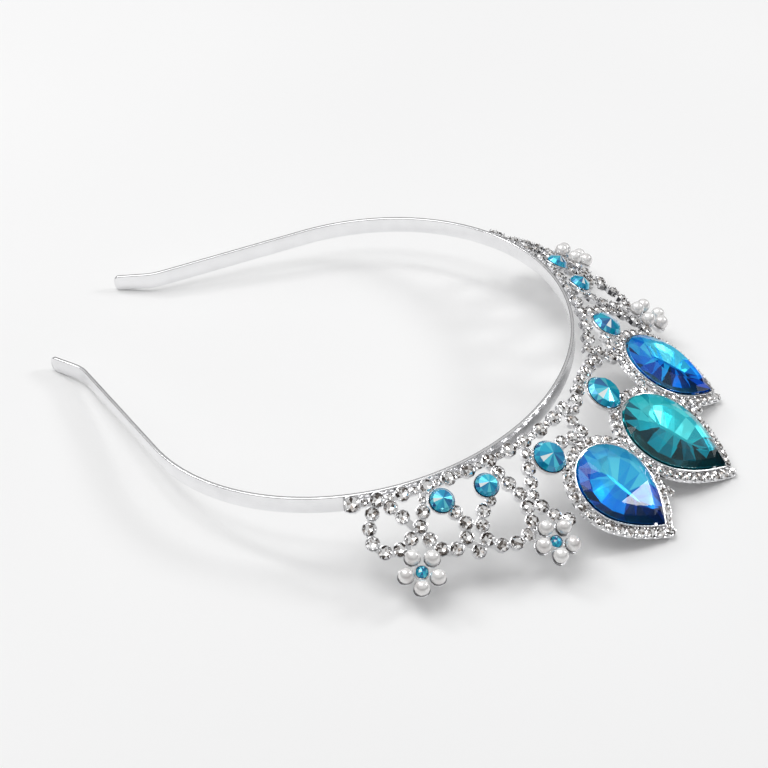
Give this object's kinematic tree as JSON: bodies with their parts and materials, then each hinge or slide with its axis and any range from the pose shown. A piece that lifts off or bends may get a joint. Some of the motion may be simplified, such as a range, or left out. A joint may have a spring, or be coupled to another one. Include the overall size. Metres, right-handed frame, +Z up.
{
  "type": "tiara",
  "caption": "Springy horseshoe headband with a fan of openwork set with pear-cut and round glass stones, pearl flowers and rows of small clear stones.",
  "frame": {"origin": "bottom centre of the bounding box, with the tiara lying as in the picture on its two band tips and on the tips of its pear settings", "axes": "+X towards the wearer's left half, the tiara's mirror plane is x = 0; +Y from the ornament towards the band tips; +Z up, away from the surface it lies on"},
  "size_m": [0.1516, 0.1882, 0.0233],
  "materials": {
    "silver": "polished silver plating; the small clear stones fused to it are grey crystal",
    "teal_glass": "faceted, foiled back",
    "blue_glass": "faceted, foiled back",
    "aqua_glass": "faceted, foiled back",
    "pearl": "pearl lustre"
  },
  "bodies": {
    "root": {"tiara_frame": "silver", "pear_stone_centre": "teal_glass", "pear_stone_side_left": "blue_glass", "pear_stone_side_right": "blue_glass", "round_stone_centre": "aqua_glass", "round_stone_inner_left": "aqua_glass", "round_stone_inner_right": "aqua_glass", "round_stone_middle_left": "aqua_glass", "round_stone_middle_right": "aqua_glass", "round_stone_outer_left": "aqua_glass", "round_stone_outer_right": "aqua_glass", "inner_flower_left_stone": "aqua_glass", "inner_flower_left_pearl_1": "pearl", "inner_flower_left_pearl_2": "pearl", "inner_flower_left_pearl_3": "pearl", "inner_flower_left_pearl_4": "pearl", "inner_flower_left_pearl_5": "pearl", "inner_flower_right_stone": "aqua_glass", "inner_flower_right_pearl_1": "pearl", "inner_flower_right_pearl_2": "pearl", "inner_flower_right_pearl_3": "pearl", "inner_flower_right_pearl_4": "pearl", "inner_flower_right_pearl_5": "pearl", "outer_flower_left_stone": "aqua_glass", "outer_flower_left_pearl_1": "pearl", "outer_flower_left_pearl_2": "pearl", "outer_flower_left_pearl_3": "pearl", "outer_flower_left_pearl_4": "pearl", "outer_flower_left_pearl_5": "pearl", "outer_flower_right_stone": "aqua_glass", "outer_flower_right_pearl_1": "pearl", "outer_flower_right_pearl_2": "pearl", "outer_flower_right_pearl_3": "pearl", "outer_flower_right_pearl_4": "pearl", "outer_flower_right_pearl_5": "pearl"}
  },
  "joints": []
}
